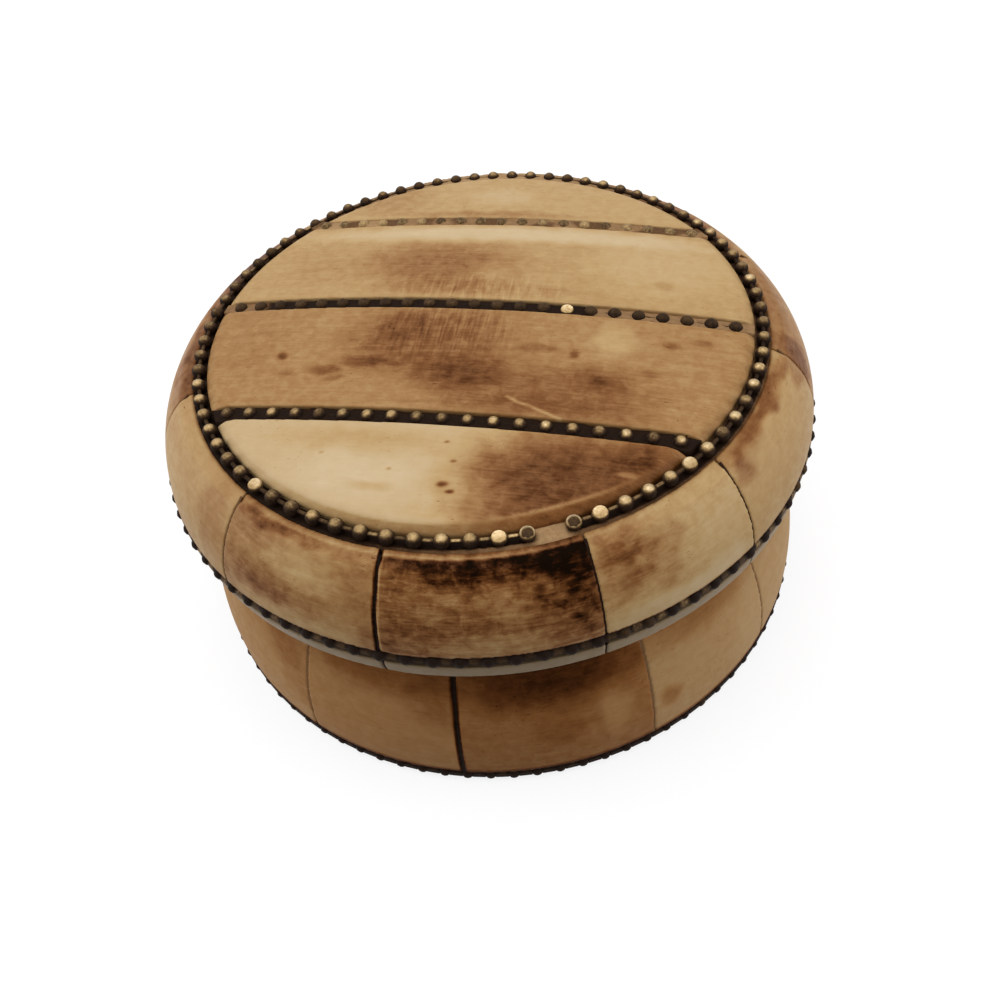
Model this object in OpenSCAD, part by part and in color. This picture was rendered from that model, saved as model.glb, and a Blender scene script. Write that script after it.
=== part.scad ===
// Round trinket box: turned wooden base and lift-off lid, clad in bone and inlaid with brass ball chain

/* [Base] */
// Widest radius of the base's bone cladding
base_r = 41.45; // [39:0.05:46]
// Height of that widest line above the table
base_widest_z = 2.5; // [2:0.1:8]
// Height of the shoulder that the lid sits on
base_h = 23.2; // [18:0.1:30]
// Height of the wooden foot below the tiles
foot_h = 2.2; // [2:0.1:3.5]
// Radius of the round cavity
cavity_r = 26.5; // [18:0.5:27]
// Thickness of the wooden floor
floor_t = 4; // [2.5:0.25:8]
// Height of the rim that centres the lid
rim_h = 4.2; // [2:0.2:6]
// Thickness of that rim
rim_t = 2.4; // [1.5:0.1:3]
// Width of the wooden ledge between that rim and the tiles
ledge_w = 2.25; // [1.5:0.25:5]

/* [Lid] */
// Widest radius of the lid's bone cladding
lid_r = 41.1; // [39:0.05:45]
// Height of that widest line above the lid's lower edge
lid_widest_up = 3.05; // [2:0.05:6]
// How far the shoulder draws in from the widest line to the top groove
shoulder_in = 5.5; // [4.5:0.05:7]
// How far the shoulder rises over that
shoulder_up = 10.65; // [8.5:0.05:13]
// Depth of the hollow inside the lid
hollow_h = 9.2; // [7:0.1:11]
// Rise of the top from the planks' outer edge to the middle
dome_h = 2.1; // [1:0.1:5]

/* [Bone and filler] */
// Thickness of the side tiles
tile_t = 2.6; // [1.8:0.1:3]
// Width of the joint between two side tiles
joint_w = 0.45; // [0.3:0.05:1]
// Most that a hand-cut joint wanders from even spacing, in degrees
joint_wander = 1.5; // [0:0.25:3]
// Depth of the filler below the tiles' faces
filler_sink = 0.15; // [0.05:0.05:0.4]
// Bevel on the tiles' upper and lower edges
tile_bevel = 0.3; // [0.1:0.05:0.5]
// Thickness of the top planks
plank_t = 2.2; // [1.9:0.1:3]
// Width of the near and the far plank at their middle
outer_plank_w = 12.55; // [8:0.05:16]
// Width of the straight grooves between the planks
plank_groove_w = 1.9; // [1.75:0.05:2.6]
// Height of the planks' outer edge above the top ring's beads, middle to edge
plank_edge_up = 0.6; // [0.3:0.05:0.9]
// Bevel round the planks' outer edge
plank_bevel = 0.7; // [0.2:0.05:1]
// Width of the groove round the top
top_groove_w = 3.2; // [2.2:0.1:4]

/* [Ball chain] */
// Diameter of a bead
bead_d = 1.75; // [1.2:0.05:1.75]
// Spacing of the beads along a chain
bead_pitch = 2.8; // [2.2:0.05:4]
// Diameter of the link wire
wire_d = 0.45; // [0.3:0.05:0.7]
// Gap between the end beads of the top ring, middle to middle
ring_gap = 4.65; // [3:0.05:8]
// Height of the top ring's beads above the tiles' upper edge, to the middle
ring_rise = 0.5; // [0.2:0.05:0.6]
// Depth of the straight chains' beads below the planks' faces, to the middle
chain_drop = 0.5; // [0:0.05:0.6]
// Height of the rim chain above the lid's lower edge
rim_chain_up = 3.3; // [2:0.1:5]
// Depth of the rim chain's beads in the tiles, to the middle
rim_chain_drop = 0.5; // [0:0.05:0.6]
// Depth of the foot chain's beads under the tiles, to the middle
foot_chain_drop = 0.65; // [0:0.05:0.8]

/* [Fits] */
// Glue line between bone, filler and wood
glue_gap = 0.05; // [0.03:0.01:0.1]
// Room round a bead in its groove
bead_gap = 0.06; // [0.03:0.01:0.12]
// Room between a straight chain's end beads and the top ring's
chain_end_gap = 0.2; // [0.1:0.05:1]
// Room round the rim inside the lid
rim_gap = 0.3; // [0.15:0.05:0.5]
// Gap under the seated lid
seat_gap = 0.2; // [0.1:0.05:0.4]

/* [Hidden] */
// Side tiles round the base and round the lid
tile_count = 12;
// Directions of the first joints and of the top ring's gap, in degrees
base_joint_0 = 245;
lid_joint_0 = 236.35;
ring_gap_at = 293.1;
// Where each ring of joints starts in the wander, and its step from joint to joint, in degrees
base_wander_0 = 25;
lid_wander_0 = 5;
wander_step = 222;
// Overshoot of cutting shapes past the faces that they cut
over = 1;
// Width of the flats where a bead's links enter, as a multiple of the wire's
flat_share = 1.6;
// Facets of the turned shapes, the beads and the wire
turned_fn = 256;
bead_fn = 32;
wire_fn = 16;

bone = "#cfb48a";
wood = "#7d5836";
filler = "#2b1b11";
brass = "#a98a4c";

bead_r = bead_d / 2;
bead_flat_at = sqrt(pow(bead_r, 2) - pow(flat_share * wire_d / 2, 2));

// Radius of an arc that starts upright, draws in by one length and rises by the other
function arc_radius(draw_in, rise) = (draw_in * draw_in + rise * rise) / (2 * draw_in);
// Angle that an arc length takes up at a radius
function arc_deg(length, r) = length / r * 180 / PI;

rim_r = cavity_r + rim_t;
base_top_r = rim_r + ledge_w + tile_t;
base_arc_r = arc_radius(base_r - base_top_r, base_h - base_widest_z);
base_arc_mid = [base_r - base_arc_r, base_widest_z];
rim_top_z = base_h + rim_h;

lid_z = base_h + seat_gap;
lid_widest_z = lid_z + lid_widest_up;
lid_arc_r = arc_radius(shoulder_in, shoulder_up);
lid_arc_mid = [lid_r - lid_arc_r, lid_widest_z];
tile_top_z = lid_widest_z + shoulder_up;
groove_out_r = lid_r - shoulder_in;
plank_r = groove_out_r - top_groove_w;
plank_pitch = plank_r - outer_plank_w - plank_groove_w / 2;
ring_r = groove_out_r - top_groove_w / 2;
ring_z = tile_top_z + ring_rise;
plank_edge_z = ring_z + plank_edge_up;
dome_r = (plank_r * plank_r + dome_h * dome_h) / (2 * dome_h);
dome_mid_z = plank_edge_z + dome_h - dome_r;
ledge_z = plank_edge_z - plank_t - glue_gap;
ring_bed_top_z = ring_z - bead_r - bead_gap;
lid_top_z = plank_edge_z + dome_h + over;

function base_face_r(z) = base_arc_mid.x + sqrt(pow(base_arc_r, 2) - pow(z - base_widest_z, 2));
function lid_face_r(z) = lid_arc_mid.x + sqrt(pow(lid_arc_r, 2) - pow(z - lid_widest_z, 2));
function dome_z(r) = dome_mid_z + sqrt(dome_r * dome_r - r * r);

rim_chain_z = lid_z + rim_chain_up;
rim_chain_r = lid_face_r(rim_chain_z) - rim_chain_drop;
foot_chain_z = foot_h - bead_gap - bead_r;
foot_chain_r = base_face_r(foot_h) - foot_chain_drop;
foot_r = foot_chain_r - bead_r - bead_gap;

function joint_at(first, wander_0, i) =
  first + 360 / tile_count * i + joint_wander * sin(wander_0 + wander_step * (i % tile_count));
function base_joint(i) = joint_at(base_joint_0, base_wander_0, i);
function lid_joint(i) = joint_at(lid_joint_0, lid_wander_0, i);
function numbered(name, i) = str(name, i < 9 ? "0" : "", i + 1);

tiles = [0 : tile_count - 1];

// Disc in the profile plane, cut off at the axis
module disc(mid, r) {
  intersection() {
    translate(mid) circle(r = r, $fn = turned_fn);
    translate([0, mid.y - r - over]) square([mid.x + r + over, 2 * (r + over)]);
  }
}

// Rectangle in the profile plane between two radii and two heights
module band(r0, r1, z0, z1) {
  translate([r0, z0]) square([r1 - r0, z1 - z0]);
}

// Triangle that takes a corner off, given the corner and its two legs
module corner_cut(corner, leg_r, leg_z) {
  polygon([corner, corner + [leg_r, 0], corner + [0, leg_z]]);
}

// Turned piece between two directions
module turned(from, to) {
  rotate([0, 0, from]) rotate_extrude(angle = to - from, $fn = turned_fn) children();
}

module base_tile_profile(sink) {
  difference() {
    intersection() {
      disc(base_arc_mid, base_arc_r - sink);
      band(max(base_arc_mid.x, 0), base_r + over, foot_h, base_h - glue_gap);
    }
    disc(base_arc_mid, base_arc_r - tile_t);
    corner_cut([base_top_r + over, base_h + over], -over * 2 - tile_bevel, -over * 2 - tile_bevel);
  }
}

module lid_tile_profile(sink) {
  low_r = lid_face_r(lid_z);
  difference() {
    intersection() {
      disc(lid_arc_mid, lid_arc_r - sink);
      band(groove_out_r, lid_r + over, lid_z, tile_top_z + over);
    }
    disc(lid_arc_mid, lid_arc_r - tile_t);
    translate([rim_chain_r, rim_chain_z]) circle(r = bead_r + bead_gap + sink, $fn = bead_fn);
    corner_cut([low_r + over, lid_z - over], -over * 2 - tile_bevel, over * 2 + tile_bevel);
    corner_cut([groove_out_r - over, tile_top_z + over], over * 2 + tile_bevel, -over * 2 - tile_bevel);
  }
}

// Everything under the domed face, lowered by a drop, out to a radius
module dome_profile(drop, r) {
  intersection() {
    disc([0, dome_mid_z - drop], dome_r);
    band(0, r, ledge_z - over, lid_top_z);
  }
}

module base_core() {
  color(wood) rotate_extrude($fn = turned_fn) difference() {
    union() {
      intersection() {
        disc(base_arc_mid, base_arc_r - tile_t - glue_gap);
        band(0, base_r, 0, base_h);
      }
      band(0, foot_r, 0, foot_h - glue_gap);
      band(0, rim_r, 0, rim_top_z);
    }
    band(0, cavity_r, floor_t, rim_top_z + over);
  }
}

module base_tile(i) {
  edge = arc_deg(joint_w / 2, base_r);
  color(bone) turned(base_joint(i) + edge, base_joint(i + 1) - edge)
    base_tile_profile(0);
}

module base_joint_filler() {
  edge = arc_deg(joint_w / 2 - glue_gap, base_r);
  color(filler) for (i = tiles) turned(base_joint(i) - edge, base_joint(i) + edge)
    base_tile_profile(filler_sink);
}

module lid_core() {
  color(wood) rotate_extrude($fn = turned_fn) difference() {
    union() {
      intersection() {
        disc(lid_arc_mid, lid_arc_r - tile_t - glue_gap);
        band(0, lid_r, lid_z, ledge_z);
      }
      band(0, groove_out_r - glue_gap, lid_widest_z, ledge_z);
      dome_profile(plank_t + glue_gap, plank_r);
    }
    band(0, rim_r + rim_gap, lid_z - over, lid_z + hollow_h);
  }
}

module lid_tile(i) {
  edge = arc_deg(joint_w / 2, lid_r);
  color(bone) turned(lid_joint(i) + edge, lid_joint(i + 1) - edge) lid_tile_profile(0);
}

module lid_joint_filler() {
  edge = arc_deg(joint_w / 2 - glue_gap, lid_r);
  color(filler) for (i = tiles) turned(lid_joint(i) - edge, lid_joint(i) + edge)
    lid_tile_profile(filler_sink);
}

// Plank between two distances from the middle groove
module plank(y0, y1) {
  color(bone) intersection() {
    rotate_extrude($fn = turned_fn) difference() {
      dome_profile(0, plank_r);
      disc([0, dome_mid_z - plank_t], dome_r);
      corner_cut([plank_r + over, plank_edge_z + over], -over * 2 - plank_bevel, -over * 2 - plank_bevel);
    }
    translate([-lid_r, y0, lid_z]) cube([2 * lid_r, y1 - y0, lid_top_z - lid_z]);
  }
}

// Setting compound in the groove at a distance from the middle one
module plank_bed(y) {
  width = plank_groove_w - 2 * glue_gap;
  color(filler) intersection() {
    rotate_extrude($fn = turned_fn) difference() {
      dome_profile(chain_drop + bead_r + bead_gap, plank_r);
      disc([0, dome_mid_z - plank_t], dome_r);
    }
    translate([-lid_r, y - width / 2, lid_z]) cube([2 * lid_r, width, lid_top_z - lid_z]);
  }
}

module top_ring_bed() {
  color(filler) rotate_extrude($fn = turned_fn)
    band(plank_r + glue_gap, groove_out_r - glue_gap, ledge_z + glue_gap, ring_bed_top_z);
}

// Turns the upright axis into a direction
module along(way) {
  rotate([0, acos(way.z / norm(way)), atan2(way.y, way.x)]) children();
}

// Bead on an upright chain, flat where its links enter
module bead() {
  rotate_extrude($fn = bead_fn) intersection() {
    circle(d = bead_d, $fn = bead_fn);
    band(0, bead_d, -bead_flat_at, bead_flat_at);
  }
}

// Link wire between the middles of two beads, bare of both middles
module link(a, b) {
  bare = bead_flat_at / 2;
  translate(a) along(b - a) translate([0, 0, bare])
    cylinder(d = wire_d, h = norm(b - a) - 2 * bare, $fn = wire_fn);
}

// Bead middle by its number, which runs on round a closed chain and stops at the ends of an open one
function chain_point(points, closed, i) =
  let (count = len(points)) points[closed ? (i + count) % count : min(max(i, 0), count - 1)];

// Beads at the given points, each turned along the chain and linked to the next
module ball_chain(points, closed) {
  last = len(points) - 1;
  color(brass) union() {
    for (i = [0 : last]) translate(points[i])
      along(chain_point(points, closed, i + 1) - chain_point(points, closed, i - 1)) bead();
    for (i = [0 : closed ? last : last - 1]) link(points[i], chain_point(points, closed, i + 1));
  }
}

// Bead middles round a circle
function ring_points(r, z, from, step, count) =
  [for (i = [0 : count - 1]) [r * cos(from + step * i), r * sin(from + step * i), z]];

// Closed chain round a circle, with the spacing evened out
module closed_ring(r, z) {
  count = round(2 * PI * r / bead_pitch);
  ball_chain(ring_points(r, z, 0, 360 / count, count), true);
}

module foot_chain() {
  closed_ring(foot_chain_r, foot_chain_z);
}

module rim_chain() {
  closed_ring(rim_chain_r, rim_chain_z);
}

module top_ring_chain() {
  gap = arc_deg(ring_gap, ring_r);
  links = round((2 * PI * ring_r - ring_gap) / bead_pitch);
  ball_chain(ring_points(ring_r, ring_z, ring_gap_at + gap / 2, (360 - gap) / links, links + 1), false);
}

// Straight chain over the dome, at a distance from the middle groove
module plank_chain(y) {
  reach = sqrt(pow(ring_r - bead_d - chain_end_gap, 2) - y * y);
  links = floor(2 * reach / bead_pitch);
  xs = [for (i = [0 : links]) (i - links / 2) * bead_pitch];
  ball_chain([for (x = xs) [x, y, dome_z(norm([x, y])) - chain_drop]], false);
}

half_groove = plank_groove_w / 2;

base_core();
base_joint_filler();
foot_chain();
for (i = tiles) {
  base_tile(i);
  lid_tile(i);
}
lid_core();
lid_joint_filler();
rim_chain();
plank(-lid_r, -plank_pitch - half_groove);  // plank_near
plank(-plank_pitch + half_groove, -half_groove);  // plank_front
plank(half_groove, plank_pitch - half_groove);  // plank_back
plank(plank_pitch + half_groove, lid_r);  // plank_far
plank_bed(-plank_pitch);  // plank_bed_near
plank_bed(0);  // plank_bed_middle
plank_bed(plank_pitch);  // plank_bed_far
top_ring_bed();
plank_chain(-plank_pitch);  // plank_chain_near
plank_chain(0);  // plank_chain_middle
plank_chain(plank_pitch);  // plank_chain_far
top_ring_chain();
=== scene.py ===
import math
import random

import bpy
import numpy as np
from mathutils import Matrix, Vector, noise


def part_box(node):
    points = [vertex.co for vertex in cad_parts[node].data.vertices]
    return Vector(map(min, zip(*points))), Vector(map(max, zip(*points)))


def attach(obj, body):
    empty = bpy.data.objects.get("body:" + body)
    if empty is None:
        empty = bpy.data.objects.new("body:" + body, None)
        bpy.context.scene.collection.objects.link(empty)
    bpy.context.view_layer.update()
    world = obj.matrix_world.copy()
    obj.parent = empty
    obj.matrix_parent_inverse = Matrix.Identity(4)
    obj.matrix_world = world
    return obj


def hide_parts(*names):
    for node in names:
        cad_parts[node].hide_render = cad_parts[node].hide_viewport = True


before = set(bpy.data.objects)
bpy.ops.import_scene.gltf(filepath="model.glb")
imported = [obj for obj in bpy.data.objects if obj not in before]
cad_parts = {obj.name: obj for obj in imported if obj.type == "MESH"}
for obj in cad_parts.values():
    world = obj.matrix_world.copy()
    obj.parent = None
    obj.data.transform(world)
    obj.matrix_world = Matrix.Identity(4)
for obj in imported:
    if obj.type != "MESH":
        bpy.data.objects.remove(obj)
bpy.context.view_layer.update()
mm = 0.001
up = Vector((0, 0, 1))
weldMm = 0.001
seed = 7
draw = random.Random(seed)
noise.seed_set(seed)
print("frame loaded:", len(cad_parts), "nodes")


# Helpers for selecting, copying and finishing

def pickOnly(piece):
    bpy.ops.object.select_all(action="DESELECT")
    piece.select_set(True)
    bpy.context.view_layer.objects.active = piece


def finishWith(piece, kind, **settings):
    pickOnly(piece)
    modifier = piece.modifiers.new(kind.title(), kind)
    for name, value in settings.items():
        setattr(modifier, name, value)
    bpy.ops.object.modifier_apply(modifier=modifier.name)


def copyNode(node, name):
    piece = bpy.data.objects.new(name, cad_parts[node].data.copy())
    bpy.context.scene.collection.objects.link(piece)
    pickOnly(piece)
    piece.data.materials.clear()
    bpy.ops.mesh.customdata_custom_splitnormals_clear()
    bpy.ops.object.mode_set(mode="EDIT")
    bpy.ops.mesh.select_all(action="SELECT")
    bpy.ops.mesh.remove_doubles(threshold=weldMm * mm)
    bpy.ops.object.mode_set(mode="OBJECT")
    return piece


def pointsOf(mesh):
    flat = np.zeros(len(mesh.vertices) * 3)
    mesh.vertices.foreach_get("co", flat)
    return flat.reshape(-1, 3)


def normalsOf(mesh):
    flat = np.zeros(len(mesh.vertices) * 3)
    mesh.vertex_normals.foreach_get("vector", flat)
    return flat.reshape(-1, 3)


def movePoints(mesh, points):
    mesh.vertices.foreach_set("co", points.ravel())
    mesh.update()


def setPointValues(mesh, name, values):
    layer = mesh.attributes.get(name) or mesh.attributes.new(name, "FLOAT", "POINT")
    layer.data.foreach_set("value", np.asarray(values, np.float32))


def smoothStep(low, high, x):
    t = np.clip((x - low) / (high - low), 0, 1)
    return t * t * (3 - 2 * t)


def noiseAt(points, span):   # smooth noise about 0 at each point, with features of this span
    return np.array([noise.noise(Vector(p) / span) for p in points])


def turnFrom(points, degrees):   # direction of each point round the box, in degrees from the given one
    turn = np.degrees(np.arctan2(points[:, 1], points[:, 0])) - degrees
    return (turn + 180) % 360 - 180


def nearTurn(points, at, span):   # 1 at one direction round the box, fading to 0 away from it
    return np.exp(-(turnFrom(points, at) / span) ** 2)


def settle(piece, material, body, node):   # finish, ride, and stand in for its node
    piece.data.materials.clear()
    piece.data.materials.append(material)
    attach(piece, body)
    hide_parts(node)


# Helpers for materials

def linear(hexColour):
    parts = [int(hexColour[i:i + 2], 16) / 255 for i in (1, 3, 5)]
    return [c / 12.92 if c <= 0.04045 else ((c + 0.055) / 1.055) ** 2.4 for c in parts] + [1]


def perMm(sizes):   # pattern scale whose features have these sizes in millimetres
    return [1 / (size * mm) for size in sizes]


def newMaterial(name):
    material = bpy.data.materials.new(name)
    material.use_nodes = True
    return material, material.node_tree, material.node_tree.nodes["Principled BSDF"]


def addNode(tree, kind, sockets, **settings):   # a socket gets a value, or a link from an output
    node = tree.nodes.new(kind)
    for name, value in settings.items():
        setattr(node, name, value)
    for socket, value in sockets.items():
        if isinstance(value, bpy.types.NodeSocket):
            tree.links.new(value, node.inputs[socket])
        else:
            node.inputs[socket].default_value = value
    return node.outputs


def addMath(tree, operation, *values):
    return addNode(tree, "ShaderNodeMath", dict(enumerate(values)), operation=operation)[0]


def addSwing(tree, pattern, amount, depth):   # a pattern swings a depth both ways
    return addMath(tree, "MULTIPLY_ADD", addMath(tree, "SUBTRACT", pattern, 0.5), amount, depth)


def remap(tree, value, over, to=(0.0, 1.0)):
    return addNode(tree, "ShaderNodeMapRange", {"Value": value, "From Min": over[0], "From Max": over[1],
                                                "To Min": to[0], "To Max": to[1]})[0]


def pointValue(tree, name):
    return addNode(tree, "ShaderNodeAttribute", {}, attribute_name=name)["Fac"]


def mapMm(tree, coords, sizes):
    return addNode(tree, "ShaderNodeMapping", {"Vector": coords, "Scale": perMm(sizes)})[0]


def addNoise(tree, coords, detail, roughness, scale=1.0, distortion=0.0):
    return addNode(tree, "ShaderNodeTexNoise", {"Vector": coords, "Scale": scale, "Detail": detail,
                                                "Roughness": roughness, "Distortion": distortion})[0]


def colourBy(tree, depth, stops):   # stops are (place, hex colour)
    colour = addNode(tree, "ShaderNodeValToRGB", {"Fac": depth})[0]
    elements = colour.node.color_ramp.elements
    while len(elements) < len(stops):
        elements.new(0.5)
    for element, (place, hexColour) in zip(elements, stops):
        element.position = place
        element.color = linear(hexColour)
    return colour


def addBump(tree, shader, height, bump):   # bump is (strength, depth in mm)
    strength, depthMm = bump
    normal = addNode(tree, "ShaderNodeBump", {"Height": height, "Strength": strength,
                                              "Distance": depthMm * mm})[0]
    tree.links.new(normal, shader.inputs["Normal"])


# Bone: sawn from long bones, filed, tea-stained and waxed. Pale ivory to honey, brown where the
# stain soaked in and near-black where it was scorched, with long grain, fine pores and a satin sheen.

lidBone = {
    "name": "teaStainedBone",
    "ramp": [(0.0, "#decdab"), (0.15, "#ceb48c"), (0.3, "#bf9d6b"), (0.45, "#a47a4b"),
             (0.6, "#82532a"), (0.75, "#5c3414"), (0.88, "#351a09"), (1.0, "#150a04")],
    "lipColour": "#917c5f",
    # coordinates, sizes in mm and detail of each pattern; UV runs along and across the grain
    "patterns": {"longGrain": ("UV", (11, 0.6, 1), 3.0), "shortGrain": ("UV", (1.8, 0.32, 1), 3.0),
                 "fineGrain": ("UV", (0.9, 0.14, 1), 3.0), "blotch": ("Object", (1.3, 1.3, 1.3), 5.0),
                 "sawMarks": ("UV", (0.5, 5, 1), 3.0), "pores": ("UV", (0.7, 0.14, 1), 1.0),
                 "porePatches": ("Object", (7, 7, 7), 2.0)},
    "patternRoughness": 0.6, "patternDistortion": 0.4,
    # how far the patterns swing the depth of the stain, and the share of that by its depth
    "swings": {"longGrain": 0.2, "shortGrain": 0.22, "fineGrain": 0.14, "blotch": 0.44},
    "swingOver": (0.2, 0.75), "swingShare": (0.3, 1.5), "sawSwing": 0.5,
    "poreOver": (0.68, 0.76), "porePatchOver": (0.5, 0.62), "poreDepth": 0.28,
    "dullOver": (0.3, 0.7), "roughness": (0.40, 0.55), "bump": (0.35, 0.06),
    "ior": 1.54, "specular": 0.12, "scorchOver": (0.6, 0.9), "scorchSpecular": 0.01,
}
# the base's copy of the bone: a lighter, warmer ramp, rougher and with less sheen
baseBone = {
    **lidBone,
    "name": "warmerBaseBone",
    "ramp": [(0.0, "#decdab"), (0.15, "#d2bc94"), (0.3, "#c7a678"), (0.45, "#b08252"),
             (0.6, "#8f5c2f"), (0.75, "#683b19"), (0.88, "#3d1f0c"), (1.0, "#160a04")],
    "roughness": (0.5, 0.65), "specular": 0.05,
}


def makeBone(look):
    material, tree, shader = newMaterial(look["name"])
    coords = addNode(tree, "ShaderNodeTexCoord", {})
    stain, sawn, lip, figure = (pointValue(tree, name) for name in ("stain", "sawn", "lip", "figure"))
    pattern = {}
    for name, (space, sizes, detail) in look["patterns"].items():
        pattern[name] = addNoise(tree, mapMm(tree, coords[space], sizes), detail, look["patternRoughness"],
                                 distortion=look["patternDistortion"])
    # stained bone shows its grain more than pale bone
    swing = remap(tree, stain, look["swingOver"], look["swingShare"])
    swing = addMath(tree, "MULTIPLY", swing, figure)
    sway = 0.0
    for name, amount in look["swings"].items():
        sway = addSwing(tree, pattern[name], amount, sway)
    depth = addMath(tree, "MULTIPLY_ADD", sway, swing, stain)
    marks = addSwing(tree, pattern["sawMarks"], look["sawSwing"], 0.0)
    depth = addMath(tree, "MULTIPLY_ADD", marks, sawn, depth)
    # pores: short dark dashes along the grain, in patches
    dashes = remap(tree, pattern["pores"], look["poreOver"])
    pores = addMath(tree, "MULTIPLY", dashes, remap(tree, pattern["porePatches"], look["porePatchOver"]))
    depth = addMath(tree, "MULTIPLY_ADD", pores, look["poreDepth"], depth)
    colour = colourBy(tree, depth, look["ramp"])
    # a mix of colours has them in sockets 6 and 7, and its result in output 2
    mixed = addNode(tree, "ShaderNodeMix", {0: lip, 6: colour, 7: linear(look["lipColour"])},
                    data_type="RGBA")[2]
    tree.links.new(mixed, shader.inputs["Base Color"])
    dull = remap(tree, pattern["blotch"], look["dullOver"], look["roughness"])
    tree.links.new(dull, shader.inputs["Roughness"])
    addBump(tree, shader, addMath(tree, "SUBTRACT", pattern["shortGrain"], pores), look["bump"])
    shader.inputs["IOR"].default_value = look["ior"]
    # scorched bone has lost its sheen
    sheen = remap(tree, depth, look["scorchOver"], (look["specular"], look["scorchSpecular"]))
    shader.inputs["Specular IOR Level"].default_value = look["specular"]
    tree.links.new(sheen, shader.inputs["Specular IOR Level"])
    return material


# Setting compound: shellac and bone dust. Near-black and dull where packed, tan where rubbed.

compoundLook = {
    "ramp": [(0.0, "#140b06"), (0.3, "#2e1c10"), (0.6, "#6e4f34"), (0.8, "#967451"), (1.0, "#b8966c")],
    "gritMm": 0.45, "gritDetail": 5.0, "gritRoughness": 0.65, "gritSwing": 0.35,
    "bump": (0.5, 0.12), "roughness": 0.7, "specular": 0.06,
}


def makeCompound():
    look = compoundLook
    material, tree, shader = newMaterial("shellacCompound")
    coords = addNode(tree, "ShaderNodeTexCoord", {})
    grit = addNoise(tree, coords["Object"], look["gritDetail"], look["gritRoughness"],
                    scale=perMm([look["gritMm"]])[0])
    depth = addSwing(tree, grit, look["gritSwing"], pointValue(tree, "tone"))
    tree.links.new(colourBy(tree, depth, look["ramp"]), shader.inputs["Base Color"])
    addBump(tree, shader, grit, look["bump"])
    shader.inputs["Roughness"].default_value = look["roughness"]
    shader.inputs["Specular IOR Level"].default_value = look["specular"]
    return material


# Brass: stamped ball chain, blackened and then rubbed, so its crowns are dull gold and its hollows dark. The
# crowns face up to the lamps, and their pale cream is painted highlight as well as wear

brassLook = {
    "ramp": [(0.08, "#1b0f08"), (0.35, "#4f3a24"), (0.6, "#ad9063"), (0.95, "#f0ddb8")],
    "speckMm": 0.35, "speckDetail": 4.0, "speckRoughness": 0.7, "speckSwing": 0.5,
    "metalOver": (0.2, 0.7), "metal": (0.0, 0.55), "dullOver": (0.1, 0.9), "roughness": (0.65, 0.38),
    "bump": (0.4, 0.08), "specular": 0.08,
}


def makeBrass():
    look = brassLook
    material, tree, shader = newMaterial("antiquedBrass")
    coords = addNode(tree, "ShaderNodeTexCoord", {})
    speck = addNoise(tree, coords["Object"], look["speckDetail"], look["speckRoughness"],
                     scale=perMm([look["speckMm"]])[0])
    # the value read here is wear and painted highlight together, lightening the crowns that face the lamps
    rub = addSwing(tree, speck, look["speckSwing"], pointValue(tree, "wearAndHighlight"))
    tree.links.new(colourBy(tree, rub, look["ramp"]), shader.inputs["Base Color"])
    tree.links.new(remap(tree, rub, look["metalOver"], look["metal"]), shader.inputs["Metallic"])
    tree.links.new(remap(tree, rub, look["dullOver"], look["roughness"]), shader.inputs["Roughness"])
    addBump(tree, shader, speck, look["bump"])
    shader.inputs["Specular IOR Level"].default_value = look["specular"]
    return material


# Core wood: mango, turned on a lathe and oiled. Straight grain under the planks, fine turning rings.

woodLook = {
    "ramp": [(0.3, "#4a2e18"), (0.5, "#7a5230"), (0.7, "#96693f")],
    "grainMm": (28, 2.2, 2.2), "fineMm": (5, 0.25, 0.25), "fineSwing": 0.35,
    "grainDetail": 4.0, "grainRoughness": 0.5, "grainDistortion": 0.6,
    "turningMm": 0.45, "turningDistortion": 0.4, "turningShare": 0.4, "bump": (0.3, 0.06), "roughness": 0.5,
}
waveRings = 20   # the wave node draws this many rings in 2 pi units


def makeWood():
    look = woodLook
    material, tree, shader = newMaterial("turnedMango")
    coords = addNode(tree, "ShaderNodeTexCoord", {})
    grain, fine = (addNoise(tree, mapMm(tree, coords["Object"], look[name]), look["grainDetail"],
                            look["grainRoughness"], distortion=look["grainDistortion"])
                   for name in ("grainMm", "fineMm"))
    depth = addSwing(tree, fine, look["fineSwing"], grain)
    tree.links.new(colourBy(tree, depth, look["ramp"]), shader.inputs["Base Color"])
    rings = addNode(tree, "ShaderNodeTexWave",
                    {"Vector": coords["Object"], "Distortion": look["turningDistortion"],
                     "Scale": perMm([look["turningMm"]])[0] * math.tau / waveRings},
                    wave_type="RINGS", rings_direction="Z")["Fac"]
    addBump(tree, shader, addMath(tree, "MULTIPLY_ADD", rings, look["turningShare"], fine), look["bump"])
    shader.inputs["Roughness"].default_value = look["roughness"]
    return material


bone = {"lid": makeBone(lidBone), "base": makeBone(baseBone)}
compound, brass, wood = makeCompound(), makeBrass(), makeWood()
print("materials made")


# Bone pieces. Each is its node's solid with worn edges and a hand-filed face, then stained.
# A stain is (along, across, half length, half width, depth) in the piece's own millimetres:
# x and y on a plank; along the rim from the tile's middle and up from its lower edge on a tile.
# Depth runs from 0, ivory, to 1, scorched.

# voxel size in mm and rounding passes for each kind of piece
boneCut = {"plank": (0.18, 4), "lid": (0.2, 3), "base": (0.25, 2)}
boneBlank = {"rounding": 0.5, "unevenMm": 0.04, "unevenSpanMm": 5, "stainFade": (0.3, 1.3),
             "raggedMm": (1.6, 0.6), "raggedSpanMm": 2.2, "raggedFromMm": 3}


def spread(along, across, spot):   # 1 inside a stain, fading to 0 outside it
    distance = np.hypot((along - spot[0]) / spot[2], (across - spot[1]) / spot[3])
    return 1 - smoothStep(*boneBlank["stainFade"], distance)


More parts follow.
